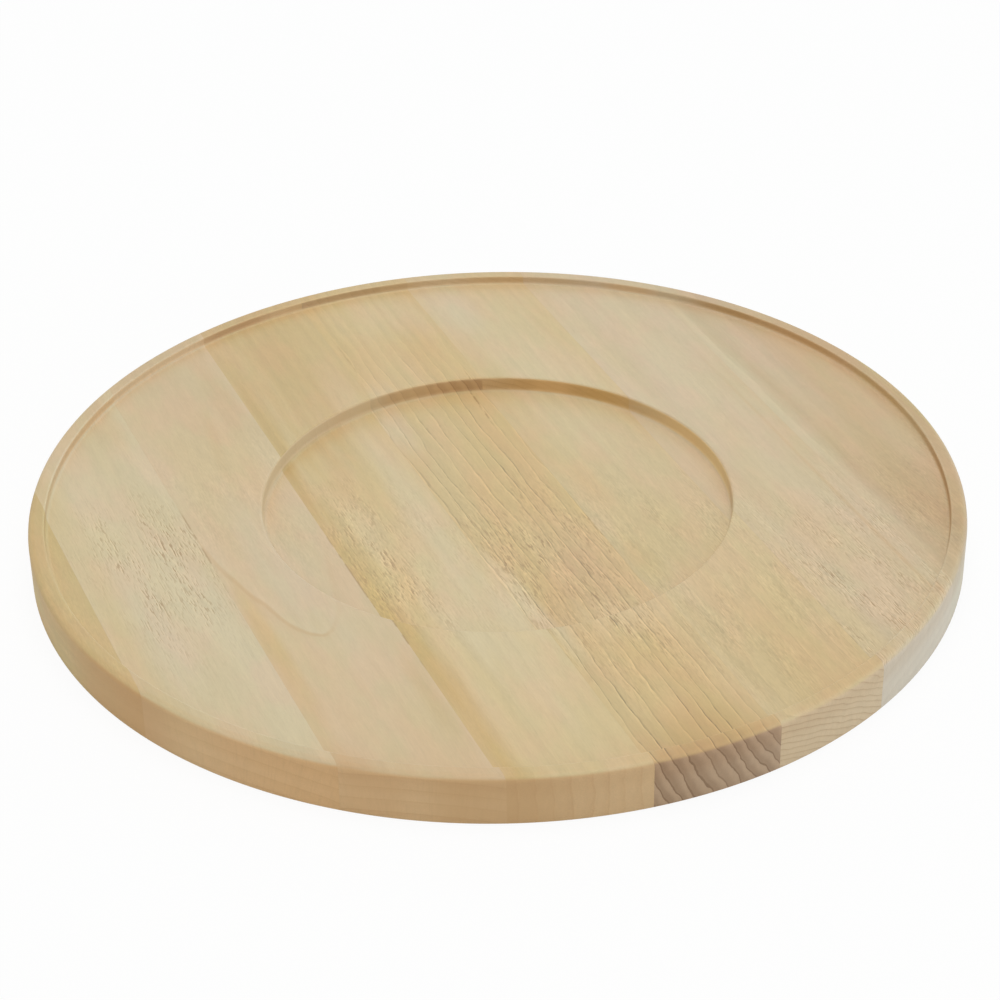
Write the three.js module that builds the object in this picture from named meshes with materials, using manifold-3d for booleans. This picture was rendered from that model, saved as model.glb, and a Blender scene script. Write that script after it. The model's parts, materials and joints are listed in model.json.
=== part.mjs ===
// Round serving board turned from an edge-glued beech panel.
// Nine parallel staves are glued edge to edge. The disc cut from them has a raised rim,
// a flat tray floor inside the rim and a deeper round recess for a bowl or plate in the middle.
//
// Units are millimetres and +Z is up. The origin is the centre of the underside, where the
// board rests. +X runs along the grain, so every glue joint is a plane of constant Y.

import * as THREE from "three";
import { mergeVertices } from "three/addons/utils/BufferGeometryUtils.js";
import Module from "manifold-3d";

// Driving dimensions of the turned disc
const BOARD_DIAMETER = 400;
const BOARD_THICKNESS = 22;
const RIM_WIDTH = 7;
const RIM_HEIGHT = 4; // rim top above the tray floor
const RECESS_DIAMETER = 202;
const RECESS_DEPTH = 7; // recess floor below the tray floor

// Eased arrises (outside corners) and coves (inside corners)
const FOOT_ROUND = 1; // outer edge, underside
const EDGE_ROUND = 3; // outer edge, top
const RIM_LIP_ROUND = 0.8; // rim's inner arris
const TRAY_COVE = 1.5; // where the rim's wall meets the tray floor
const RECESS_LIP_ROUND = 1.2; // recess's upper arris
const RECESS_COVE = 2; // where the recess's wall meets its floor

// The glued panel. Staves of one width lie between two narrower strips, which are what
// turning the disc left of the outermost staves.
const FULL_STAVES = 7;
const LEFT_STRIP = 17;
const RIGHT_STRIP = 5;

// Facets
const TURN_STEPS = 144; // round the board
const CORNER_STEPS = 2; // half the facets of each quarter-round corner

// Colours of the bare, sanded staves, from the left edge (-Y) to the right (+Y)
const STAVE_COLOURS = [
  "#cdb582",
  "#d3c29c",
  "#d3bc98",
  "#d3bd90",
  "#cbb083",
  "#d2ba8e",
  "#d1bb95",
  "#c9af87",
  "#d3c09c",
];
const ROUGHNESS = 0.62;

const wasm = await Module();
wasm.setup();

// A three.js geometry as a manifold-3d solid.
function toSolid(geometry) {
  const bare = geometry.clone();
  bare.deleteAttribute("normal");
  bare.deleteAttribute("uv");
  const merged = mergeVertices(bare, 1e-4);
  return new wasm.Manifold(
    new wasm.Mesh({
      numProp: 3,
      vertProperties: merged.attributes.position.array,
      triVerts: new Uint32Array(merged.index.array),
    }),
  );
}

// A manifold-3d solid as a flat-shaded three.js geometry.
function toGeometry(solid) {
  const mesh = solid.getMesh();
  const indexed = new THREE.BufferGeometry();
  indexed.setAttribute("position", new THREE.BufferAttribute(mesh.vertProperties, 3));
  indexed.setIndex(new THREE.BufferAttribute(mesh.triVerts, 1));
  const geometry = indexed.toNonIndexed();
  geometry.computeVertexNormals();
  return geometry;
}

// Half the board's cross-section, from the centre of the underside, round the rim, to the
// centre of the recess floor. x is the radius and y the height. Straight runs join the arcs.
function boardProfile() {
  const edge = BOARD_DIAMETER / 2;
  const rimWall = edge - RIM_WIDTH;
  const recessWall = RECESS_DIAMETER / 2;
  const rimTop = BOARD_THICKNESS;
  const trayFloor = rimTop - RIM_HEIGHT;
  const recessFloor = trayFloor - RECESS_DEPTH;
  const quarter = Math.PI / 2;

  const path = new THREE.Path();
  path.moveTo(0, 0);
  path.lineTo(edge - FOOT_ROUND, 0);
  path.absarc(edge - FOOT_ROUND, FOOT_ROUND, FOOT_ROUND, -quarter, 0);
  path.absarc(edge - EDGE_ROUND, rimTop - EDGE_ROUND, EDGE_ROUND, 0, quarter);
  path.absarc(rimWall + RIM_LIP_ROUND, rimTop - RIM_LIP_ROUND, RIM_LIP_ROUND, quarter, 2 * quarter);
  path.absarc(rimWall - TRAY_COVE, trayFloor + TRAY_COVE, TRAY_COVE, 0, -quarter, true);
  path.absarc(
    recessWall + RECESS_LIP_ROUND,
    trayFloor - RECESS_LIP_ROUND,
    RECESS_LIP_ROUND,
    quarter,
    2 * quarter,
  );
  path.absarc(recessWall - RECESS_COVE, recessFloor + RECESS_COVE, RECESS_COVE, 0, -quarter, true);
  path.lineTo(0, recessFloor);
  return path.getPoints(CORNER_STEPS);
}

// The whole turned disc, before the joints between its staves are marked off.
function turnedDisc() {
  const geometry = new THREE.LatheGeometry(boardProfile(), TURN_STEPS);
  geometry.rotateX(Math.PI / 2);
  return toSolid(geometry);
}

// The Y values of the glue joints, from the left edge to the right.
function jointPlanes() {
  const firstJoint = LEFT_STRIP - BOARD_DIAMETER / 2;
  const staveWidth = (BOARD_DIAMETER - LEFT_STRIP - RIGHT_STRIP) / FULL_STAVES;
  return Array.from({ length: FULL_STAVES + 1 }, (_, place) => firstJoint + place * staveWidth);
}

// The slice of the disc between two planes of constant Y.
function slice(disc, low, high) {
  const slab = new THREE.BoxGeometry(2 * BOARD_DIAMETER, high - low, 4 * BOARD_THICKNESS);
  slab.translate(0, (low + high) / 2, 0);
  return disc.intersect(toSolid(slab));
}

// One stave, numbered from the left edge.
function stave(disc, number, low, high) {
  const material = new THREE.MeshStandardMaterial({
    name: "beech_" + number,
    color: new THREE.Color(STAVE_COLOURS[(number - 1) % STAVE_COLOURS.length]),
    roughness: ROUGHNESS,
    metalness: 0,
  });
  const mesh = new THREE.Mesh(toGeometry(slice(disc, low, high)), material);
  mesh.name = "stave_" + number;
  return mesh;
}

// The two edge strips keep the disc's own round edge, so their slices reach past it.
function buildBoard() {
  const disc = turnedDisc();
  const bounds = [-BOARD_DIAMETER, ...jointPlanes(), BOARD_DIAMETER];
  const board = new THREE.Group();
  board.name = "round_serving_board";
  for (let number = 1; number < bounds.length; number += 1) {
    board.add(stave(disc, number, bounds[number - 1], bounds[number]));
  }
  return board;
}

export default buildBoard();
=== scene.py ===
"""Looks of the round serving board: beech staves glued edge to edge and turned to a low tray.

Lengths are in metres, with +X along the grain, +Y across the staves and +Z up. Inside the wood
materials they are in millimetres, which suits the scale of growth rings and ray flecks.
"""

import json
import math
from dataclasses import dataclass

import bmesh
import bpy
from mathutils import Matrix, Vector


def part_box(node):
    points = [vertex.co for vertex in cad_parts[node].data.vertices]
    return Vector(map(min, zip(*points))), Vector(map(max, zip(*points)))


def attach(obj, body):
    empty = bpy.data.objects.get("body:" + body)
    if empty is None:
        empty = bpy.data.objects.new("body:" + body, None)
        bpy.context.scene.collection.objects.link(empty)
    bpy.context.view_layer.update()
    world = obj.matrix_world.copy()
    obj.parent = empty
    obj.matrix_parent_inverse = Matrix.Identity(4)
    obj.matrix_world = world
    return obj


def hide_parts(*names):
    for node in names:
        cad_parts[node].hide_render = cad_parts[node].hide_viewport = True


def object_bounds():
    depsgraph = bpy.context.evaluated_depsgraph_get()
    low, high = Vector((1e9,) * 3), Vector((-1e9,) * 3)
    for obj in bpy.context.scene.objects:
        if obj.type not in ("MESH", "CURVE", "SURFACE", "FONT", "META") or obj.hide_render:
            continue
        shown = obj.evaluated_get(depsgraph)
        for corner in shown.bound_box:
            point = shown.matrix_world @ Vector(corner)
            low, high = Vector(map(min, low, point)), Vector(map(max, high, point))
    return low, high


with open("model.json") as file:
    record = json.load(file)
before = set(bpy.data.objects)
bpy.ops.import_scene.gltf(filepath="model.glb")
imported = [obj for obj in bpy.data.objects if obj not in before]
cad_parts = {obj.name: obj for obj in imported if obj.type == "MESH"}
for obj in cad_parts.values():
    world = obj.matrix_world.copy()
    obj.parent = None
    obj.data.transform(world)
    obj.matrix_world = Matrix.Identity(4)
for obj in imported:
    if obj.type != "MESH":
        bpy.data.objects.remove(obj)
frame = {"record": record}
CAD_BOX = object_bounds()

MM = 0.001

# Sizes that the frame holds
MOUNTS = {mount["name"]: Vector(mount["pos_m"]) for mount in frame["record"]["mounts"]}
RADIUS = CAD_BOX[1].x
THICKNESS = CAD_BOX[1].z
TRAY_FLOOR = MOUNTS["tray_floor"].z
RECESS_FLOOR = MOUNTS["recess_floor"].z

# Sizes of the turned profile that the frame doesn't name
RIM_WIDTH = 7 * MM
RECESS_RADIUS = 101 * MM
FOOT_ROUND = 1 * MM
EDGE_ROUND = 3 * MM
RIM_LIP_ROUND = 0.8 * MM
TRAY_COVE = 1.5 * MM
RECESS_LIP_ROUND = 1.2 * MM
RECESS_COVE = 2 * MM

TURN_STEPS = 360  # facets round the board
ARC_STEPS = 6  # facets of each rounding
SUPPORT = 0.15 * MM  # a flat's first loop beside a rounding keeps the flat's shading flat
SHORTEST_RUN = 3 * SUPPORT  # a shorter straight run has no such loops
SAME_PLANE = 1e-7  # points closer to a joint's plane than this lie on it
AT_EDGE = 1e-5  # a stave's side closer to the board's edge than this is the turned edge, not a joint

# The photograph's camera, solved from the outlines of the rim, the recess and the foot
IMAGE_SIDE = 1000
FOCAL_PIXELS = 2697.5
SENSOR = 36.0
CAMERA_DISTANCE = 5.7966 * RADIUS
CAMERA_ELEVATION = 0.5642
CAMERA_AZIMUTH = math.radians(67.5)
CAMERA_PAN = -0.0010
CAMERA_TILT = -0.0048
CAMERA_ROLL = 0.0162
CAMERA_CLIP = (0.05, 50)

# Level directions: towards the camera, and to its right
LEVEL_BACK = Vector((math.sin(CAMERA_AZIMUTH), -math.cos(CAMERA_AZIMUTH), 0))
LEVEL_RIGHT = Vector((math.cos(CAMERA_AZIMUTH), math.sin(CAMERA_AZIMUTH), 0))


def make_camera():
    """The camera looks at the middle of the rim's top, then is panned, tilted and rolled a little."""
    back = LEVEL_BACK * math.cos(CAMERA_ELEVATION) + Vector((0, 0, math.sin(CAMERA_ELEVATION)))
    right = Vector((0, 0, 1)).cross(back).normalized()
    up = back.cross(right)
    forward = -back
    place = Vector((0, 0, THICKNESS)) + back * CAMERA_DISTANCE

    pan = Matrix.Rotation(CAMERA_PAN, 3, up)
    right, forward = pan @ right, pan @ forward
    tilt = Matrix.Rotation(CAMERA_TILT, 3, right)
    up, forward = tilt @ up, tilt @ forward
    roll = Matrix.Rotation(CAMERA_ROLL, 3, forward)
    right, up = roll @ right, roll @ up

    data = bpy.data.cameras.new("camera")
    data.sensor_width = SENSOR
    data.sensor_fit = "HORIZONTAL"
    data.lens = FOCAL_PIXELS / IMAGE_SIDE * SENSOR
    data.clip_start, data.clip_end = CAMERA_CLIP
    camera = bpy.data.objects.new("camera", data)
    bpy.context.scene.collection.objects.link(camera)
    axes = Matrix((right, up, -forward)).transposed()
    camera.matrix_world = Matrix.Translation(place) @ axes.to_4x4()
    bpy.context.scene.camera = camera


def arc(radius, centre, start, end):
    """Points of a rounding from one angle to another, in degrees, as (radius, height) pairs."""
    points = []
    for step in range(ARC_STEPS + 1):
        angle = math.radians(start + (end - start) * step / ARC_STEPS)
        points.append((centre[0] + radius * math.cos(angle), centre[1] + radius * math.sin(angle)))
    return points


def board_profile():
    """Half the board's section, from the underside's middle round the rim to the recess's middle."""
    rim_wall = RADIUS - RIM_WIDTH
    roundings = [
        arc(FOOT_ROUND, (RADIUS - FOOT_ROUND, FOOT_ROUND), -90, 0),
        arc(EDGE_ROUND, (RADIUS - EDGE_ROUND, THICKNESS - EDGE_ROUND), 0, 90),
        arc(RIM_LIP_ROUND, (rim_wall + RIM_LIP_ROUND, THICKNESS - RIM_LIP_ROUND), 90, 180),
        arc(TRAY_COVE, (rim_wall - TRAY_COVE, TRAY_FLOOR + TRAY_COVE), 0, -90),
        arc(RECESS_LIP_ROUND, (RECESS_RADIUS + RECESS_LIP_ROUND, TRAY_FLOOR - RECESS_LIP_ROUND), 90, 180),
        arc(RECESS_COVE, (RECESS_RADIUS - RECESS_COVE, RECESS_FLOOR + RECESS_COVE), 0, -90),
    ]
    points = [(0.0, 0.0)]
    for rounding in roundings:
        points += with_support(points[-1], rounding[0])
        points += rounding
    points += with_support(points[-1], (0.0, RECESS_FLOOR))
    points.append((0.0, RECESS_FLOOR))
    return points


def with_support(start, end):
    """Points close to both ends of a straight run, so that only they take up a rounding's bent normals."""
    run = Vector(end) - Vector(start)
    if run.length < SHORTEST_RUN:
        return []
    near = Vector(start) + run.normalized() * SUPPORT
    far = Vector(end) - run.normalized() * SUPPORT
    return [tuple(near), tuple(far)]


def turned_disc():
    """The whole board as a bmesh, turned about Z from its profile."""
    disc = bmesh.new()
    rings = []
    for radius, height in board_profile():
        if radius == 0:
            rings.append([disc.verts.new((0, 0, height))])
            continue
        ring = []
        for step in range(TURN_STEPS):
            angle = 2 * math.pi * step / TURN_STEPS
            ring.append(disc.verts.new((radius * math.cos(angle), radius * math.sin(angle), height)))
        rings.append(ring)
    for low, high in zip(rings, rings[1:]):
        for step in range(TURN_STEPS):
            after = (step + 1) % TURN_STEPS
            corners = [
                low[step % len(low)],
                low[after % len(low)],
                high[after % len(high)],
                high[step % len(high)],
            ]
            disc.faces.new(list(dict.fromkeys(corners)))
    return disc


def cut_at_joint(disc, joint, keep_above):
    """Cuts the disc at a plane of constant Y, drops one side and closes the cut with a flat face."""
    result = bmesh.ops.bisect_plane(
        disc,
        geom=disc.verts[:] + disc.edges[:] + disc.faces[:],
        dist=SAME_PLANE,
        plane_co=(0, joint, 0),
        plane_no=(0, 1, 0),
        clear_inner=keep_above,
        clear_outer=not keep_above,
    )
    rim = [item for item in result["geom_cut"] if isinstance(item, bmesh.types.BMEdge)]
    cap = bmesh.ops.contextual_create(disc, geom=rim)["faces"]
    for face in cap:
        face.smooth = False
        for edge in face.edges:
            edge.smooth = False


def make_stave(node):
    """A stave as a closed mesh of its own, between the joints that the frame gives."""
    low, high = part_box(node)
    disc = turned_disc()
    for face in disc.faces:
        face.smooth = True
    if low.y > AT_EDGE - RADIUS:
        cut_at_joint(disc, low.y, keep_above=True)
    if high.y < RADIUS - AT_EDGE:
        cut_at_joint(disc, high.y, keep_above=False)
    bmesh.ops.recalc_face_normals(disc, faces=disc.faces[:])
    mesh = bpy.data.meshes.new(node + "_wood")
    disc.to_mesh(mesh)
    disc.free()
    piece = bpy.data.objects.new(node + "_wood", mesh)
    bpy.context.scene.collection.objects.link(piece)
    return piece


MIX_INPUTS = (0, 6, 7)  # where a colour mix node has its amount and its two colours
MIX_RESULT = 2


class Nodes:
    """Writes a material's nodes as expressions: each method returns an output socket."""

    def __init__(self, material):
        material.use_nodes = True
        self.tree = material.node_tree
        self.tree.nodes.clear()

    def add(self, kind, **settings):
        node = self.tree.nodes.new(kind)
        for name, value in settings.items():
            setattr(node, name, value)
        return node

    def feed(self, socket, value):
        if isinstance(value, bpy.types.NodeSocket):
            self.tree.links.new(value, socket)
        else:
            socket.default_value = value

    def math(self, operation, *values):
        node = self.add("ShaderNodeMath", operation=operation)
        for socket, value in zip(node.inputs, values):
            self.feed(socket, value)
        return node.outputs[0]

    def plus(self, a, b):
        return self.math("ADD", a, b)

    def minus(self, a, b):
        return self.math("SUBTRACT", a, b)

    def times(self, a, b):
        return self.math("MULTIPLY", a, b)

    def length(self, a, b):
        return self.math("SQRT", self.plus(self.times(a, a), self.times(b, b)))

    def swing(self, noise, amount):
        """A noise as a change up and down, by half the amount at most."""
        return self.times(self.minus(noise, 0.5), amount)

    def at_least(self, floor, share):
        """A share that runs from the floor to 1 in place of 0 to 1."""
        return self.plus(floor, self.times(share, 1 - floor))

    def fading(self, far, reach, fade):
        """1 where far is small, falling to 0 between two shares of the reach."""
        end, begin = fade
        return self.ramp(far, reach * end, reach * begin)

    def around(self, value, middle, reach, fade):
        """The same by the distance between a value and a middle."""
        return self.fading(self.math("ABSOLUTE", self.minus(value, middle)), reach, fade)

    def ramp(self, value, low, high):
        """0 below low and 1 above high, smooth between. With low above high it falls instead."""
        node = self.add("ShaderNodeMapRange", interpolation_type="SMOOTHSTEP")
        self.feed(node.inputs["Value"], value)
        self.feed(node.inputs["From Min"], low)
        self.feed(node.inputs["From Max"], high)
        return node.outputs["Result"]

    def join(self, x, y, z):
        node = self.add("ShaderNodeCombineXYZ")
        for socket, value in zip(node.inputs, (x, y, z)):
            self.feed(socket, value)
        return node.outputs[0]

    def split(self, vector):
        node = self.add("ShaderNodeSeparateXYZ")
        self.feed(node.inputs[0], vector)
        return node.outputs

    def noise(self, place, detail=2.0, colour=False):
        """Perlin noise of about unit grain, from 0 to 1 round 0.5."""
        node = self.add("ShaderNodeTexNoise", noise_dimensions="3D")
        self.feed(node.inputs["Vector"], place)
        node.inputs["Scale"].default_value = 1.0
        node.inputs["Detail"].default_value = detail
        return node.outputs["Color" if colour else "Fac"]

    def stretched(self, axes, sizes, shift):
        """Coordinates whose unit is the given size along each axis, so that a pattern has that grain."""
        placed = (self.math("MULTIPLY_ADD", axis, 1 / size, shift) for axis, size in zip(axes, sizes))
        return self.join(*placed)

    def mix(self, amount, first, second, blend="MIX"):
        node = self.add("ShaderNodeMix", data_type="RGBA", blend_type=blend)
        for place, value in zip(MIX_INPUTS, (amount, first, second)):
            self.feed(node.inputs[place], value)
        return node.outputs[MIX_RESULT]

    def shade(self, colour, factor):
        """The colour made lighter or darker by a factor near 1."""
        node = self.add("ShaderNodeVectorMath", operation="SCALE")
        self.feed(node.inputs[0], colour)
        self.feed(node.inputs["Scale"], factor)
        return node.outputs[0]


def from_srgb(red, green, blue):
    """A colour as it shows on screen, 0 to 255, as the linear colour that a shader takes."""
    linear = []
    for value in (red, green, blue):
        value /= 255
        linear.append(value / 12.92 if value <= 0.04045 else ((value + 0.055) / 1.055) ** 2.4)
    return (*linear, 1.0)


@dataclass
class Patch:
    """A soft-edged tone on one stave's face, as a long spindle. Lengths are in millimetres."""

    place: tuple  # (x, y) of its middle
    half: tuple  # half its length and half its width
    colour: tuple  # the tone that the wood takes there
    amount: float  # how far it takes it
    slope: float = 0.0  # how far its middle line moves in y for each unit of x
    broken: bool = False  # a line that comes and goes along its length


@dataclass
class Look:
    """How one stave was sawn and what shows in it. Lengths are in millimetres."""

    colour: tuple
    pith: tuple  # (y, z) of the tree's centre line at x = 0
    ring: float = 5.5  # width of one year's growth
    start: float = 0.0  # a distance from the pith at which one year ends
    lean: tuple = (0.0, 0.0)  # how far the centre line moves in y and z for each unit of x
    wander: tuple = (2.0, 1.0)  # how far the grain strays in y and z
    wobble: float = 3.0  # a finer stray across the grain
    jitter: float = 0.8  # and one finer still
    bands: float = 0.05  # how much each year's growth darkens the face
    lines: float = 0.10  # how much the thin line at its end does
    lines_from: tuple = (-400.0, -300.0)  # x over which the lines come in
    steady: float = 0.15  # how much of them shows even where they are faintest
    end_light: tuple = (205, 181, 138)  # end grain early in the year
    end_dark: tuple = (190, 160, 118)  # and late in it
    end_sharp: float = 1.5  # the higher, the later in the year it darkens
    end_band: float = 0.5  # how much the whole late wood darkens, beside the year's last line
    flecks: float = 0.1  # how strongly the rays show as dark flecks
    fleck_place: tuple = (60.0, 120.0)  # x where the flecks are thickest, and how far they reach
    fleck_row: tuple = (0.0, 400.0)  # the same in y
    rough: float = 0.15  # how strongly the fine grain shows where the flecks are
    ray_reach: float = 14.0  # how far one ray runs outwards from the pith
    ray_side: int = 1  # where a fleck's painted highlight lies: 1 beside it round the pith, 2 beside it outwards
    ripple: float = 0.8  # a finer stray up and down
    arris_shade: float = 0.5  # how much painted shade darkens the rounded outer arris
    patches: tuple = ()
    arch: tuple = ()  # (x, y) of the tip of an arched year line on the face, and how sharply it bends


# Tones of the wood as they show on screen. The painted shade of the arris and of the rim's top, ROSIER and
# GREENER multiply it instead
WARMER = (-1, -4, -10)  # from a stave's colour to the second tone that it drifts to
ARRIS_SHADE = (0.93, 0.87, 0.81, 1.0)  # painted shade: darkens the outer edge's rounding
BURNISH_AND_SHADE = 0.08  # how far the inner walls take a darker, more orange tone: partly burnish from turning, partly painted warm shade
BURNISHED_AND_SHADED = (208, 163, 102)
INNER_TONES_AND_SHADING = (  # places on the inner walls with another tone, partly the wood's own and partly painted shade and painted light: (x, y), reach, colour, amount
    ((-76, 66), 48, (200, 156, 90), 0.5),
    # painted light on the recess wall at the right
    ((-5, 101), 50, (238, 198, 130), 0.47),
    ((-96, 8), 36, (206, 162, 106), 0.4),
    ((-78, 176), 62, (186, 142, 84), 0.55),
    # painted shade: the shadowed cove along the rim's inner wall at the right
    ((85, 172), 70, (176, 134, 84), 0.65),
    ((-184, -58), 26, (176, 134, 86), 0.6),
    ((-62, -74), 78, (214, 191, 150), 0.65),
    ((14, 100), 26, (222, 200, 152), 0.45),
    ((-80, 61), 13, (226, 186, 132), 0.4),
    ((-100, -8), 26, (198, 166, 118), 0.5),
    ((-192, 6), 46, (188, 155, 104), 0.6),
    ((-54, 85), 34, (202, 164, 84), 0.2),
    ((-98, -24), 15, (206, 182, 140), 0.5),
    ((-104, 163), 22, (170, 132, 76), 0.4),
    ((-143, 131), 18, (214, 168, 110), 0.35),
    ((-8, 193), 30, (190, 158, 96), 0.3),
    ((-190, 28), 13, (196, 164, 118), 0.6),
    ((-173, 86), 40, (196, 158, 104), 0.4),
)
OUTER_TONES_AND_SHADE = (  # and where the outer edge has, partly the wood's own tone and partly painted warm shade where it faces the front
    ((67, -188.5), 45, (194, 156, 110), 0.65),
    ((161, -119), 20, (198, 160, 114), 0.4),
    ((184, -80), 36, (194, 157, 110), 0.55),
)
RIM_TOP_SHADE = (0.97, 0.94, 0.91, 1.0)  # painted shade that darkens the rim's top
TOP_SHADE = (((0, 195), 120, (186, 154, 110), 0.3),)  # more painted shade on the rim's top at the right
GLUE = (150, 118, 78)
GLUE_SHOWS = 0.06
DARK_GLUE = {-75: (45, 70), -129: (-18, 30)}  # by joint: a darker run's middle and half its length
FLECK = (152, 118, 76)
YELLOW = (203, 174, 118)
TAN = (196, 168, 128)
PINK = (201, 170, 135)
PALE = (213, 199, 171)
DARK_LINE = (160, 128, 84)
ARCH_LINE = (188, 155, 112)
RECESS_LIGHT = (196, 163, 118)  # end grain on the recess's wall
ROSIER = (1.02, 0.985, 0.995, 1.0)  # soft blotches of these two lie over the face
GREENER = (0.975, 1.005, 0.985, 1.0)

LOOKS = {
    "stave_1": Look(
        (198, 174, 126),
        pith=(-190, -90),
        end_light=(197, 152, 100),
        end_dark=(192, 146, 95),
        flecks=0.05,
    ),
    "stave_2": Look(
        (205, 188, 157),
        pith=(-165, -120),
        lean=(0.01, 0.02),
        bands=0.03,
        lines=0.03,
        end_light=(211, 175, 129),
        end_dark=(205, 168, 122),
        flecks=0.9,
        arris_shade=0.45,
        fleck_place=(-2, 62),
        fleck_row=(-146, 22),
        rough=0.2,
        patches=(
            Patch((-20, -178), (110, 9), YELLOW, 0.25),
            Patch((-122, -138), (22, 9), (196, 170, 130), 0.5),
            Patch((42, -164), (62, 10), (205, 189, 161), 0.6),
        ),
    ),
    "stave_3": Look(
        (204, 183, 150),
        pith=(-103, -140),
        ring=5.6,
        start=160.35,
        lean=(0.0, -0.028),
        wander=(1.5, 0.3),
        bands=0.015,
        lines=0.0,
        wobble=4.0,
        arch=(67, -103, 0.115),
        end_light=(211, 180, 138),
        end_dark=(203, 170, 128),
        flecks=0.03,
        fleck_place=(-40, 60),
        patches=(
            Patch((58, -124), (46, 4.5), YELLOW, 0.5, -0.02),
            Patch((20, -103), (70, 15), (203, 186, 158), 0.7),
            Patch((-160, -100), (70, 30), (198, 175, 139), 0.8),
            Patch((110, -126), (90, 6), (200, 170, 122), 0.5),
            Patch((165, -123), (36, 12), (194, 164, 122), 0.6, 0.2),
            Patch((-95, -97), (36, 3), TAN, 0.4, -0.15),
            Patch((122, -80), (42, 5), (196, 168, 124), 0.5),
            Patch((-130, -82), (50, 8), (194, 168, 128), 0.5),
        ),
    ),
    "stave_4": Look(
        (206, 184, 143),
        pith=(-220, 5),
        ring=6.5,
        bands=0.03,
        lines=0.03,
        end_light=(202, 169, 125),
        end_dark=(198, 163, 119),
        arris_shade=0.4,
        flecks=0.8,
        fleck_place=(20, 66),
        fleck_row=(-62, 13),
        rough=0.42,
        ray_reach=0.8,
        ray_side=2,
        patches=(
            Patch((90, -72), (140, 7), (192, 162, 104), 0.8, 0.012),
            Patch((-90, -72.5), (100, 4.5), (188, 158, 104), 0.8),
            Patch((30, -56), (110, 5), YELLOW, 0.35),
            Patch((-150, -48), (120, 36), (194, 166, 118), 0.9),
            Patch((70, -42), (90, 14), PALE, 0.25),
            Patch((76, -26), (26, 9), (214, 196, 164), 0.6),
            Patch((-20, -31), (110, 9), (206, 188, 156), 0.6),
            Patch((24, -65), (42, 4), (198, 170, 118), 0.5),
            Patch((-6, -57), (34, 6), (207, 187, 156), 0.4),
            Patch((84, -53), (38, 8), (209, 191, 158), 0.5),
            Patch((110, -28), (60, 14), (210, 189, 152), 0.4),
        ),
    ),
    "stave_5": Look(
        (203, 178, 134),
        pith=(181, 107),
        ring=5.06,
        start=0.05,
        wander=(2.0, 0.6),
        lines=0.42,
        lines_from=(-190, -10),
        steady=0.5,
        wobble=4.5,
        jitter=1.0,
        end_light=(178, 148, 116),
        end_dark=(138, 108, 78),
        end_sharp=1.0,
        arris_shade=0.9,
        flecks=0.95,
        fleck_place=(68, 85),
        fleck_row=(8, 26),
        rough=0.4,
        ray_reach=0.75,
        ray_side=2,
        patches=(
            Patch((56, 14), (46, 18), PINK, 0.5),
            Patch((100, 12), (22, 24), (209, 189, 148), 0.6),
            Patch((192, 5), (26, 26), (192, 160, 109), 0.8),
            Patch((198, 4), (5, 40), (184, 152, 106), 0.6),
            Patch((-82, -16), (26, 9), (206, 187, 153), 0.8),
            Patch((-163, 24), (22, 10), (203, 181, 145), 0.5),
            Patch((76, -18), (46, 6), (213, 193, 158), 0.85, 0.05),
            Patch((-175, 5), (30, 20), PALE, 0.2),
            Patch((-84, 27), (21, 0.6), DARK_LINE, 1.0, -0.05, broken=True),
            Patch((-138, -18), (20, 0.6), DARK_LINE, 0.35, broken=True),
        ),
    ),
    "stave_6": Look(
        (204, 182, 143),
        pith=(0, -143),
        ring=2.6,
        wander=(1.5, 0.6),
        ripple=2.4,
        bands=0.03,
        lines_from=(-60, 110),
        end_light=(202, 175, 137),
        end_dark=(182, 151, 113),
        end_sharp=2.4,
        end_band=0.3,
        flecks=0.25,
        fleck_place=(90, 110),
        rough=0.3,
        patches=(
            Patch((165, 62), (50, 26), (201, 174, 127), 0.7),
            Patch((-60, 58), (70, 20), (208, 190, 155), 0.5),
            Patch((58, 40), (28, 9), (198, 174, 124), 0.6),
            Patch((45, 62), (30, 18), (202, 178, 130), 0.4),
            Patch((130, 38), (42, 5), (197, 171, 127), 0.5),
            Patch((118, 82), (20, 6), (200, 174, 130), 0.4),
            Patch((-160, 46), (26, 12), (205, 187, 160), 0.5),
        ),
    ),
    "stave_7": Look(
        (204, 184, 153),
        pith=(150, -150),
        bands=0.03,
        lines=0.05,
        # Pale, grey end grain: partly the wood's, partly painted light from the cool light on the right
        end_light=(202, 185, 160),
        end_dark=(199, 181, 156),
        arris_shade=0.75,
        flecks=0.75,
        fleck_place=(125, 75),
        rough=0.42,
        patches=(
            Patch((60, 134), (140, 1.2), TAN, 0.5),
            Patch((140, 92), (70, 9), (204, 180, 139), 0.7),
            Patch((130, 116), (36, 12), (207, 189, 160), 0.4),
        ),
    ),
    "stave_8": Look(
        (197, 174, 142),
        pith=(200, -90),
        bands=0.06,
        lines=0.06,
        # Pale, grey end grain: partly the wood's, partly painted light from the cool light on the right
        end_light=(198, 183, 157),
        end_dark=(195, 179, 153),
        arris_shade=1.0,
        flecks=0.3,
        fleck_place=(90, 60),
        rough=0.3,
        patches=(
            Patch((85, 168), (50, 16), (186, 157, 117), 0.65),
            Patch((-45, 160), (60, 12), (199, 178, 152), 0.45),
            Patch((120, 150), (32, 9), (191, 165, 128), 0.5),
            Patch((-40, 143), (170, 7), (204, 187, 155), 0.8),
        ),
    ),
    "stave_9": Look((196, 176, 136), pith=(240, -60), arris_shade=1.0),
}


@dataclass
class Grain:
    """A noise pattern in the wood."""

    sizes: tuple  # of its grain along x, y and z, in millimetres
    salt: float  # sets it apart from other patterns of its kind
    detail: float = 2.0
    span: tuple = ()  # the values between which it goes from none to full


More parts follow.
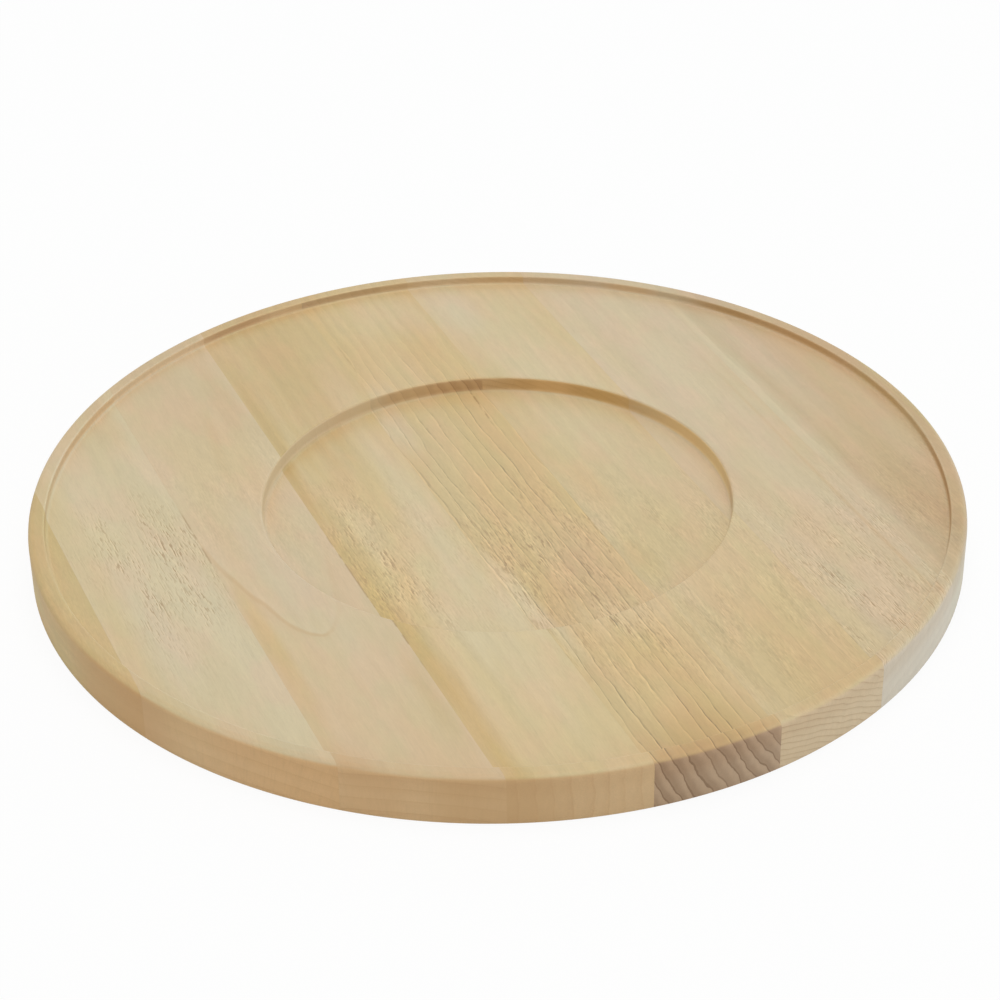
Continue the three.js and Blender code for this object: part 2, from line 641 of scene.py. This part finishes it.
# Patterns that lie straight in the stave. The first four bend its grain
STRAY = Grain((220, 70, 70), 13.7, 1.0)
WOBBLE = Grain((34, 9, 9), 21.1, 1.0)
JITTER = Grain((7, 3, 3), 5.9, 1.0)
RIPPLE = Grain((60, 14, 6), 7.3)
FUZZ = Grain((5.0, 0.6, 0.6), 13.7, 1.0)  # the relief that sanding leaves

# Patterns that follow the bent grain
DRIFT = Grain((150, 34, 34), 2.2, span=(0.3, 0.7))  # slow changes of tone
STREAK = Grain((110, 2.6, 2.6), 4.9, 3.0)
FIBRE = Grain((20, 0.45, 0.45), 5.3)
PORES = Grain((3.2, 0.6, 0.6), 7.7)
MOTTLE = Grain((13, 3.4, 3.4), 12.1, 1.0)
END_MOTTLE = Grain((60, 2.0, 5.0), 6.1)
RAGGED_EDGE = Grain((40, 5, 5), 9.4)
PATCH_BREAKS = Grain((6, 3, 3), 8.8, span=(0.36, 0.56))
LINE_BREAKS = Grain((5, 2.2, 2.2), 6.6, span=(0.42, 0.62))
LINES_COME = Grain((60, 9, 9), 3.1, span=(0.38, 0.66))  # where the year lines come in and fade out
FLECK_BLOTCH = Grain((40, 12, 12), 1.7, span=(0.35, 0.65))  # where flecks gather
FLECK_STRONG = Grain((9, 2.2, 2.2), 14.3, span=(0.42, 0.66))  # and which of them are strong

# Patterns that run on over the joints: the blotches of ROSIER and GREENER, and the glue's own
BLUSH = Grain((30, 14, 14), 8.1, 3.0, (0.36, 0.66))
GLUE_PATCHES = Grain((6, 9, 9), 1.0, 1.0, (0.42, 0.6))

SEED_STEP = 13.7  # how far one stave's patterns lie from the next one's in the noise
SALT_STEP = 5.1  # and how far one pattern lies from another, for each unit of salt
UNEVEN_SALT = 3.3
STRENGTH_SALT = 31.7
RAY_SALT = 17.9

# Where one part of the turned form gives way to the next: radii in millimetres, and the upright part of
# the surface's direction, which is 1 on a flat and 0 on a wall
WALL = (0.75, 0.4)
FLAT = (0.6, 0.9)
ROUNDED = (0.95, 0.4)
END_GRAIN = (0.12, 0.75)  # the lengthwise part of the direction over which side grain turns into end grain
FLAT_SHARE = 0.9  # how much of a change of height the fine figure passes over on the flats
INNER_WALLS = (197.0, 195.5)  # the rim's and the recess's
OUTER_WALL = (197.0, 198.5)
RIM_ONLY = (150, 160)  # an inner wall outside this is the rim's, and one inside it is the recess's
TOP_FROM = (193.4, 194.2)  # the rim's top, from its inner lip
TOP_TO = (199.0, 197.8)  # to its outer rounding
ARRIS_FROM = (195.8, 196.8)  # the outer rounding
ARRIS_HEIGHT = (9.0, 17.5)

# The shares of a year at which its parts begin and end
LATE_RISE = (0.1, 0.8)
LATE_FALL = (1.0, 0.8)
LINE_RISE = (0.84, 0.955)
LINE_FALL = (1.0, 0.985)
PALE_RISE = (0.0, 0.015)
PALE_FALL = (0.155, 0.015)
UNEVEN = 0.7  # years by which growth runs ahead or behind
UNEVEN_YEARS = 2.3  # and the years over which it does
FAINTEST_YEAR = 0.35  # strength of the faintest year, where the strongest has 1.35

# Where a soft-edged place ends and where it begins to fade, as shares of its reach
FLECK_FADE = (1.3, 0.3)
ROW_FADE = (1.5, 0.5)
TONE_FADE = (1.0, 0.3)
GLUE_FADE = (1.0, 0.6)
PATCH_FADE = (1.4, 0.1)

# Flecks
RAY_EDGE = (0.54, 0.62)  # values of the rays' noise where they begin and where they are full
RAY_SIZE = (5.5, 0.55)  # a ray's length along the grain and its thickness round the pith
PAINTED_GLINT_SHIFT = {1: (0.12, 0.75, 0.0), 2: (0.12, 0.0, 0.75)}  # from a fleck to its painted highlight, by ray_side
FLECKS_ASIDE = 0.2  # share of the flecks that shows beside their row
FLECKS_BEYOND = 0.06  # and far from their place
FLECKS_BETWEEN = 0.3  # and between their blotches
FAINTEST_FLECK = 0.6
FLECK_MIX = 0.62
FLECK_SHINE = 0.08  # how much glossier a fleck is

# How far each pattern lightens or darkens the face
STREAK_DEPTH = 0.085
FIBRE_DEPTH = 0.07
PORE_DEPTH = 0.10
MOTTLE_DEPTH = 0.09
MOTTLE_ROUGH = 0.45  # share of a fleck field's roughness that its mottle takes
RAY_DEPTH = 0.012
# Painted highlight on each fleck's far side, standing in for the light on its relief
PAINTED_GLINT_DEPTH = 0.13
PALE_SHARE = 0.5  # the next year's pale start, partly lighter early wood and partly a painted highlight beside the line, lightens by this share of what the line darkens
BAND_LIFT = 0.3  # gives back what the year bands darken on average
LINE_UNBROKEN = 0.55  # share of a line that shows in its breaks
RAGGED = 0.8  # how ragged the patches' edges are

# And the end grain
LATE_END_RISE = (0.15, 0.7)
LATE_END_FALL = (1.0, 0.92)
END_STRENGTHENED = 0.2  # added to a year's strength
END_STRONGEST = 1.1
END_LINE = 0.75
END_FIBRE = 0.14
END_MOTTLE_DEPTH = 0.12
END_RAY = 0.03
RIM_CALM = 0.6  # how much fainter the years are on the rim's inner wall
RECESS_MIX = 0.45

# The arched year line: distances from it over which its parts fade, how strongly each shows, and where
ARCH_INSIDE = ((8.0, 1.0), (0.2, 2.0))
ARCH_OUTSIDE = ((-6.0, -0.2), (1.2, -0.6))
ARCH_EDGE = (1.8, 0.2)
ARCH_MIX = (0.15, 0.22, 0.36)  # its inner side, its outer side and the line
ARCH_FROM = (-60.0, 30.0)
ARCH_FAR_SIDE = (8.0, -2.0)
ARCH_FAR_SHARE = 0.2
ARCH_RAGGED = 5.0

# Glue lines: distances from the joint over which they fade, and how strongly they show
GLUE_EDGE = (0.3, 0.08)
GLUE_RUN_EDGE = (0.6, 0.1)
GLUE_RUN_MIX = 0.5
GLUE_FAINTEST = 0.3
GLUE_WALL_LOSS = 0.7  # how much less a glue line shows on a wall

# Finish
ROUGHNESS = 0.56
FIBRE_ROUGHNESS = 0.12
END_SMOOTHER = 0.08
SPECULAR = 0.5
RELIEF = 0.6
RELIEF_HEIGHT = 0.05 * MM
LINE_RELIEF = 0.5


class Beech:
    """The solid pattern of one stave: its face, its walls and its end grain cut the same rings and rays."""

    def __init__(self, n, look, middle, seed):
        self.n = n
        self.look = look
        self.middle = middle
        self.seed = seed
        place = n.add("ShaderNodeTexCoord")
        scale = n.add("ShaderNodeVectorMath", operation="SCALE")
        n.feed(scale.inputs[0], place.outputs["Object"])
        scale.inputs["Scale"].default_value = 1 / MM
        self.x, self.y, self.z = n.split(scale.outputs[0])
        self.normal = n.split(place.outputs["Normal"])
        self.steep = n.math("ABSOLUTE", self.normal[2])
        self.out = n.length(self.x, self.y)
        # On the flats the fine figure hardly changes with height, so it runs on over the rim and the recess
        flat = n.times(n.ramp(self.steep, *FLAT), FLAT_SHARE)
        tray = TRAY_FLOOR / MM
        self.level = n.plus(tray, n.times(n.minus(self.z, tray), n.minus(1.0, flat)))
        self.bend()
        self.fibre = self.grain(FIBRE)
        self.ragged = n.swing(self.grain(RAGGED_EDGE), RAGGED)
        self.grow_rings()
        self.grow_rays()

    def straight(self, pattern, colour=False):
        """A pattern that lies straight in the stave."""
        n = self.n
        axes = (self.x, self.y, self.z)
        return n.noise(n.stretched(axes, pattern.sizes, self.seed * pattern.salt), pattern.detail, colour)

    def grain(self, pattern):
        """A pattern that follows the bent grain."""
        n = self.n
        axes = (self.x, self.along_y, self.level)
        shift = self.seed * SEED_STEP + pattern.salt * SALT_STEP
        return n.noise(n.stretched(axes, pattern.sizes, shift), pattern.detail)

    def places(self, pattern):
        """0 where the pattern is missing and 1 where it is full."""
        return self.n.ramp(self.grain(pattern), *pattern.span)

    def bend(self):
        """The grain strays a little from straight, as it does in a tree."""
        n, look = self.n, self.look
        stray = n.split(self.straight(STRAY, colour=True))
        shift_y, shift_z = (n.swing(part, 2 * reach) for part, reach in zip(stray, look.wander))
        wobble = n.swing(self.straight(WOBBLE), look.wobble)
        jitter = n.swing(self.straight(JITTER), look.jitter)
        ripple = n.swing(self.straight(RIPPLE), look.ripple)
        self.along_y = n.plus(self.y, shift_y)
        self.ring_y = n.plus(self.along_y, n.plus(wobble, jitter))
        self.along_z = n.plus(n.plus(self.z, shift_z), ripple)

    def grow_rings(self):
        """Year by year: the late wood, the thin dark line that ends it and the next year's pale start, which
        is partly a painted highlight beside the line.
        """
        n, look = self.n, self.look
        across = n.minus(self.ring_y, n.plus(look.pith[0], n.times(self.x, look.lean[0])))
        depth = n.minus(self.along_z, n.plus(look.pith[1], n.times(self.x, look.lean[1])))
        radius = n.length(across, depth)
        growth = n.math("DIVIDE", radius, look.ring * UNEVEN_YEARS)
        uneven = n.noise(n.join(growth, self.seed * UNEVEN_SALT, 0.5), 0.0)
        age = n.math("DIVIDE", n.minus(radius, look.start), look.ring)
        age = n.plus(age, n.swing(uneven, UNEVEN))
        year = n.math("FLOOR", age)
        self.season = n.minus(age, year)
        strength = n.add("ShaderNodeTexWhiteNoise", noise_dimensions="1D")
        n.feed(strength.inputs["W"], n.plus(year, self.seed * STRENGTH_SALT))
        self.strength = n.plus(FAINTEST_YEAR, strength.outputs["Value"])
        self.late = n.times(n.ramp(self.season, *LATE_RISE), n.ramp(self.season, *LATE_FALL))
        self.line = n.times(n.ramp(self.season, *LINE_RISE), n.ramp(self.season, *LINE_FALL))
        # Partly lighter early wood, partly a painted highlight beside the year line
        self.pale = n.times(n.ramp(self.season, *PALE_FALL), n.ramp(self.season, *PALE_RISE))

    def grow_rays(self):
        """Rays are thin sheets that run outwards from the pith, a few millimetres high along the grain."""
        n, look = self.n, self.look
        across = n.minus(self.along_y, look.pith[0])
        depth = n.minus(self.level, look.pith[1])
        outward = n.length(across, depth)
        # Angles times the distance from the pith to the stave's middle keep the rays' real width there
        distance = math.hypot(self.middle - look.pith[0], THICKNESS / MM / 2 - look.pith[1])
        tangent = n.times(n.math("ARCTAN2", across, depth), distance)
        sizes = (*RAY_SIZE, look.ray_reach)
        place = n.stretched((self.x, tangent, outward), sizes, self.seed * RAY_SALT)
        aside = n.add("ShaderNodeVectorMath", operation="ADD")
        n.feed(aside.inputs[0], place)
        aside.inputs[1].default_value = PAINTED_GLINT_SHIFT[look.ray_side]
        self.ray = n.ramp(n.noise(place), *RAY_EDGE)
        # A painted highlight beside each fleck
        glint = n.times(n.ramp(n.noise(aside.outputs[0]), *RAY_EDGE), n.minus(1.0, self.ray))
        near = n.around(self.x, *look.fleck_place, FLECK_FADE)
        beside = n.around(self.along_y, *look.fleck_row, ROW_FADE)
        near = n.times(near, n.at_least(FLECKS_ASIDE, beside))
        blotch = self.places(FLECK_BLOTCH)
        self.lively = n.times(n.plus(FLECKS_BEYOND, near), n.plus(FLECKS_BETWEEN, blotch))
        strong = n.at_least(FAINTEST_FLECK, self.places(FLECK_STRONG))
        amount = n.times(n.times(self.lively, look.flecks), strong)
        self.fleck = n.times(self.ray, amount)
        self.fleck_painted_glint = n.times(glint, amount)


def beech(name, look, middle, joints, seed):
    """Bare, sanded beech on one stave, with the Y values of its middle and of its joints."""
    material = bpy.data.materials.new(name)
    n = Nodes(material)
    wood = Beech(n, look, middle, seed)
    wall = n.ramp(wood.steep, *WALL)
    endness = n.times(n.ramp(n.math("ABSOLUTE", wood.normal[0]), *END_GRAIN), wall)
    colour = n.mix(endness, face_colour(n, wood), end_colour(n, wood))
    colour = tones_and_painted_shade(n, wood, colour, wall)
    for joint in joints:
        shows = n.times(glue_amount(n, wood, joint), n.minus(1.0, n.times(wall, GLUE_WALL_LOSS)))
        colour = n.mix(shows, colour, from_srgb(*GLUE))

    rough = n.plus(ROUGHNESS, n.times(wood.fibre, FIBRE_ROUGHNESS))
    rough = n.minus(n.plus(rough, n.times(endness, END_SMOOTHER)), n.times(wood.fleck, FLECK_SHINE))
    bsdf = n.add("ShaderNodeBsdfPrincipled")
    n.feed(bsdf.inputs["Base Color"], colour)
    n.feed(bsdf.inputs["Roughness"], rough)
    n.feed(bsdf.inputs["Specular IOR Level"], SPECULAR)
    n.feed(bsdf.inputs["Normal"], relief(n, wood))
    output = n.add("ShaderNodeOutputMaterial")
    n.feed(output.inputs["Surface"], bsdf.outputs["BSDF"])
    return material


def tones_and_painted_shade(n, wood, colour, wall):
    """Tones and painted shade on the walls and the rim: a darker, warmer tone on the inner walls that is
    partly burnish and partly painted shade, other tones at places, partly painted light and shade, and
    painted shade on the rim's top and the outer rounding.
    """
    out = wood.out
    inner = n.times(n.ramp(out, *INNER_WALLS), wall)
    # The inner walls' darker tone is partly burnish and partly painted warm shade
    colour = n.mix(n.times(inner, BURNISH_AND_SHADE), colour, from_srgb(*BURNISHED_AND_SHADED))
    outer = n.times(n.ramp(out, *OUTER_WALL), wall)
    top = n.times(n.ramp(out, *TOP_FROM), n.minus(1.0, wall))
    top = n.times(top, n.ramp(out, *TOP_TO))
    # Painted shade darkens the rim's top
    colour = n.mix(top, colour, n.mix(1.0, colour, RIM_TOP_SHADE, blend="MULTIPLY"))
    for where, tones in ((inner, INNER_TONES_AND_SHADING), (outer, OUTER_TONES_AND_SHADE), (top, TOP_SHADE)):
        for (spot_x, spot_y), reach, tone, amount in tones:
            far = n.length(n.minus(wood.x, spot_x), n.minus(wood.y, spot_y))
            near = n.times(n.times(where, n.fading(far, reach, TONE_FADE)), amount)
            colour = n.mix(near, colour, from_srgb(*tone))
    # Painted shade darkens the outer rounding, by each stave's own amount
    rounded = n.times(n.ramp(wood.steep, *ROUNDED), n.ramp(wood.z, *ARRIS_HEIGHT))
    rounded = n.times(rounded, n.ramp(out, *ARRIS_FROM))
    shaded_arris = n.mix(1.0, colour, ARRIS_SHADE, blend="MULTIPLY")
    return n.mix(n.times(rounded, wood.look.arris_shade), colour, shaded_arris)


def glue_amount(n, wood, joint):
    """A glue line is a hair wide and faint, with a darker run where DARK_GLUE says so."""
    gap = n.math("ABSOLUTE", n.minus(wood.y, joint))
    axes = (wood.x, wood.y, wood.z)
    patchy = n.noise(n.stretched(axes, GLUE_PATCHES.sizes, joint * GLUE_PATCHES.salt), GLUE_PATCHES.detail)
    patchy = n.ramp(patchy, *GLUE_PATCHES.span)
    faint = n.times(n.plus(GLUE_FAINTEST, patchy), GLUE_SHOWS)
    hairline = n.times(n.ramp(gap, *GLUE_EDGE), faint)
    if round(joint) not in DARK_GLUE:
        return hairline
    near = n.around(wood.x, *DARK_GLUE[round(joint)], GLUE_FADE)
    dark = n.times(n.times(near, patchy), n.ramp(gap, *GLUE_RUN_EDGE))
    return n.math("MAXIMUM", n.times(dark, GLUE_RUN_MIX), hairline)


def face_colour(n, wood):
    """Wood cut along the grain: slow changes of tone, patches, year lines, streaks, fibres and ray flecks."""
    look = wood.look
    face = n.mix(wood.places(DRIFT), from_srgb(*look.colour), from_srgb(*warmer(look.colour)))
    for patch in look.patches:
        face = n.mix(patch_amount(n, wood, patch), face, from_srgb(*patch.colour))
    axes = (wood.x, wood.y, wood.level)
    blush = n.ramp(n.noise(n.stretched(axes, BLUSH.sizes, BLUSH.salt), BLUSH.detail), *BLUSH.span)
    face = n.mix(1.0, face, n.mix(blush, GREENER, ROSIER), blend="MULTIPLY")
    face = n.shade(face, face_tone(n, wood))
    face = n.mix(n.times(wood.fleck, FLECK_MIX), face, from_srgb(*FLECK))
    if look.arch:
        face = draw_arch(n, wood, face)
    return face


def face_tone(n, wood):
    """How much lighter or darker than its colour the face is, place by place."""
    look = wood.look
    coming = n.at_least(look.steady, wood.places(LINES_COME))
    shown = n.times(coming, n.at_least(LINE_UNBROKEN, wood.places(LINE_BREAKS)))
    shown = n.times(shown, n.ramp(wood.x, *look.lines_from))
    line = n.times(n.times(wood.line, wood.strength), n.times(shown, look.lines))
    pale = n.times(n.times(wood.pale, shown), look.lines * PALE_SHARE)
    band = n.times(n.times(wood.late, wood.strength), look.bands)
    rough = n.times(wood.lively, look.rough)
    streak = n.swing(wood.grain(STREAK), STREAK_DEPTH)
    pores = n.swing(wood.grain(PORES), n.plus(PORE_DEPTH, rough))
    mottle = n.swing(wood.grain(MOTTLE), n.plus(MOTTLE_DEPTH, n.times(rough, MOTTLE_ROUGH)))
    fibre = n.plus(n.plus(n.swing(wood.fibre, FIBRE_DEPTH), pores), mottle)
    tone = n.plus(n.plus(1.0 + BAND_LIFT * look.bands, streak), n.plus(fibre, pale))
    tone = n.minus(n.minus(tone, line), band)
    tone = n.minus(tone, n.times(wood.ray, RAY_DEPTH))
    # Painted highlights beside the flecks lighten the face
    return n.plus(tone, n.times(wood.fleck_painted_glint, PAINTED_GLINT_DEPTH))


def draw_arch(n, wood, face):
    """One year line crosses the face as a soft arch, tan on its outer side and pale on its inner one."""
    tip_x, tip_y, bend = wood.look.arch
    across = n.minus(wood.ring_y, tip_y)
    behind = n.minus(n.minus(tip_x, wood.x), n.times(n.times(across, across), bend))
    behind = n.plus(behind, n.times(wood.ragged, ARCH_RAGGED))
    slant = n.times(across, 2 * bend)
    gap = n.math("DIVIDE", behind, n.math("SQRT", n.plus(1.0, n.times(slant, slant))))
    shown = n.times(n.ramp(wood.x, *ARCH_FROM), n.at_least(ARCH_FAR_SHARE, n.ramp(across, *ARCH_FAR_SIDE)))
    inside, outside = (
        n.times(n.ramp(gap, *far), n.ramp(gap, *near)) for far, near in (ARCH_INSIDE, ARCH_OUTSIDE)
    )
    line = n.ramp(n.math("ABSOLUTE", gap), *ARCH_EDGE)
    for part, amount, tone in zip((inside, outside, line), ARCH_MIX, (PALE, TAN, ARCH_LINE)):
        face = n.mix(n.times(n.times(part, shown), amount), face, from_srgb(*tone))
    return face


def end_colour(n, wood):
    """Wood cut across the grain: broad year rings with thin dark ends, fine pores and lines of rays."""
    look = wood.look
    late = n.ramp(n.math("POWER", wood.season, look.end_sharp), *LATE_END_RISE)
    late = n.times(late, n.ramp(wood.season, *LATE_END_FALL))
    strength = n.math("MINIMUM", n.plus(wood.strength, END_STRENGTHENED), END_STRONGEST)
    year = n.times(n.plus(n.times(late, look.end_band), n.times(wood.line, END_LINE)), strength)
    rim = n.times(n.ramp(wood.out, *INNER_WALLS), n.ramp(wood.out, *RIM_ONLY))
    recess = n.ramp(wood.out, *reversed(RIM_ONLY))
    year = n.times(year, n.minus(1.0, n.times(rim, RIM_CALM)))
    light = n.mix(n.times(recess, RECESS_MIX), from_srgb(*look.end_light), from_srgb(*RECESS_LIGHT))
    end = n.mix(year, light, from_srgb(*look.end_dark))
    pores = n.swing(wood.fibre, END_FIBRE)
    mottle = n.swing(wood.grain(END_MOTTLE), END_MOTTLE_DEPTH)
    return n.shade(end, n.minus(n.plus(n.plus(1.0, pores), mottle), n.times(wood.ray, END_RAY)))


def relief(n, wood):
    """Sanding leaves the fibres and the year lines standing a few hundredths of a millimetre."""
    bump = n.add("ShaderNodeBump")
    bump.inputs["Strength"].default_value = RELIEF
    bump.inputs["Distance"].default_value = RELIEF_HEIGHT
    n.feed(bump.inputs["Height"], n.plus(wood.straight(FUZZ), n.times(wood.line, LINE_RELIEF)))
    return bump.outputs["Normal"]


def warmer(colour):
    """The second tone that the wood drifts to."""
    return tuple(value + change for value, change in zip(colour, WARMER))


def patch_amount(n, wood, patch):
    """1 in the middle of a patch, falling softly to 0 at its edge."""
    along = n.minus(wood.x, patch.place[0])
    across = n.minus(n.minus(wood.along_y, patch.place[1]), n.times(along, patch.slope))
    half_length, half_width = patch.half
    far = n.length(n.math("DIVIDE", along, half_length), n.math("DIVIDE", across, half_width))
    amount = n.times(n.ramp(n.plus(far, wood.ragged), *PATCH_FADE), patch.amount)
    if patch.broken:
        amount = n.times(amount, wood.places(PATCH_BREAKS))
    return amount


def make_board():
    """Each stave of the frame gets its own wood and stands for its CAD node."""
    for seed, (node, look) in enumerate(LOOKS.items(), start=1):
        low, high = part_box(node)
        piece = make_stave(node)
        slot = node.replace("stave", "beech")
        joints = [side.y / MM for side in (low, high) if abs(side.y) < RADIUS - AT_EDGE]
        middle = (low.y + high.y) / 2 / MM
        piece.data.materials.append(beech(slot, look, middle, joints, seed))
        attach(piece, "root")
        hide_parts(node)


# The studio
FLOOR_SIDE = 12.0
FLOOR_COLOUR = (0.86, 0.86, 0.86, 1.0)
FLOOR_SHOWS = 0.08  # how much of the floor's own shading the camera sees, the rest being white
WHITE = (1, 1, 1, 1)
WORLD_COLOUR = (0.96, 1.0, 0.91, 1.0)
WORLD_LIGHT = 0.52
LAMPS = (  # name, place as (right, towards the camera, up), side, watts, colour
    ("overhead", (0, 0, 2.4), 2.0, 32.7, (0.98, 0.92, 0.93)),
    ("back", (0, -2.2, 1.0), 1.0, 5.5, (0.3, 0.7, 1.0)),
    ("side_card", (2.17, 0.38, 0.17), 0.3, 22.0, (0.50, 0.70, 1.0)),
    ("front_card", (-1.1, 1.9, 0.2), 0.36, 3.0, (1.0, 0.72, 0.58)),
)


def studio_place(right, toward, up):
    """A place by how far it lies to the camera's right, towards the camera and up from the origin."""
    return LEVEL_RIGHT * right + LEVEL_BACK * toward + Vector((0, 0, up))


def soft_box(name, place, side, watts, colour):
    """A square area light that faces the board."""
    data = bpy.data.lights.new(name, "AREA")
    data.size = side
    data.energy = watts
    data.color = colour
    lamp = bpy.data.objects.new(name, data)
    bpy.context.scene.collection.objects.link(lamp)
    lamp.location = place
    lamp.rotation_euler = (-place).to_track_quat("-Z", "Y").to_euler()


def background_ray(n):
    """1 for rays that show the background: from the camera, in a gloss or through glass."""
    path = n.add("ShaderNodeLightPath")
    rays = n.math("MAXIMUM", path.outputs["Is Camera Ray"], path.outputs["Is Glossy Ray"])
    return n.math("MAXIMUM", rays, path.outputs["Is Transmission Ray"])


def make_world():
    world = bpy.data.worlds.new("studio")
    bpy.context.scene.world = world
    n = Nodes(world)
    light = n.add("ShaderNodeBackground")
    n.feed(light.inputs["Color"], WORLD_COLOUR)
    light.inputs["Strength"].default_value = WORLD_LIGHT
    white = n.add("ShaderNodeBackground")
    n.feed(white.inputs["Color"], WHITE)
    white.inputs["Strength"].default_value = 1.0
    choose = n.add("ShaderNodeMixShader")
    n.feed(choose.inputs[0], background_ray(n))
    n.feed(choose.inputs[1], light.outputs[0])
    n.feed(choose.inputs[2], white.outputs[0])
    output = n.add("ShaderNodeOutputWorld")
    n.feed(output.inputs["Surface"], choose.outputs[0])


def make_floor():
    """A plain pale floor. The camera sees it as white, with the board's soft shadow still on it."""
    mesh = bpy.data.meshes.new("floor")
    half = FLOOR_SIDE / 2
    corners = [(-half, -half, 0), (half, -half, 0), (half, half, 0), (-half, half, 0)]
    mesh.from_pydata(corners, [], [(0, 1, 2, 3)])
    floor = bpy.data.objects.new("floor", mesh)
    bpy.context.scene.collection.objects.link(floor)

    material = bpy.data.materials.new("floor")
    n = Nodes(material)
    paint = n.add("ShaderNodeBsdfDiffuse")
    n.feed(paint.inputs["Color"], FLOOR_COLOUR)
    white = n.add("ShaderNodeEmission")
    n.feed(white.inputs["Color"], WHITE)
    white.inputs["Strength"].default_value = 1.0
    choose = n.add("ShaderNodeMixShader")
    n.feed(choose.inputs[0], n.times(background_ray(n), 1 - FLOOR_SHOWS))
    n.feed(choose.inputs[1], paint.outputs[0])
    n.feed(choose.inputs[2], white.outputs[0])
    output = n.add("ShaderNodeOutputMaterial")
    n.feed(output.inputs["Surface"], choose.outputs[0])
    mesh.materials.append(material)


def make_studio():
    make_world()
    make_floor()
    for name, place, side, watts, colour in LAMPS:
        soft_box(name, studio_place(*place), side, watts, colour)


make_camera()
make_board()
make_studio()
bpy.context.scene.view_settings.view_transform = "Standard"
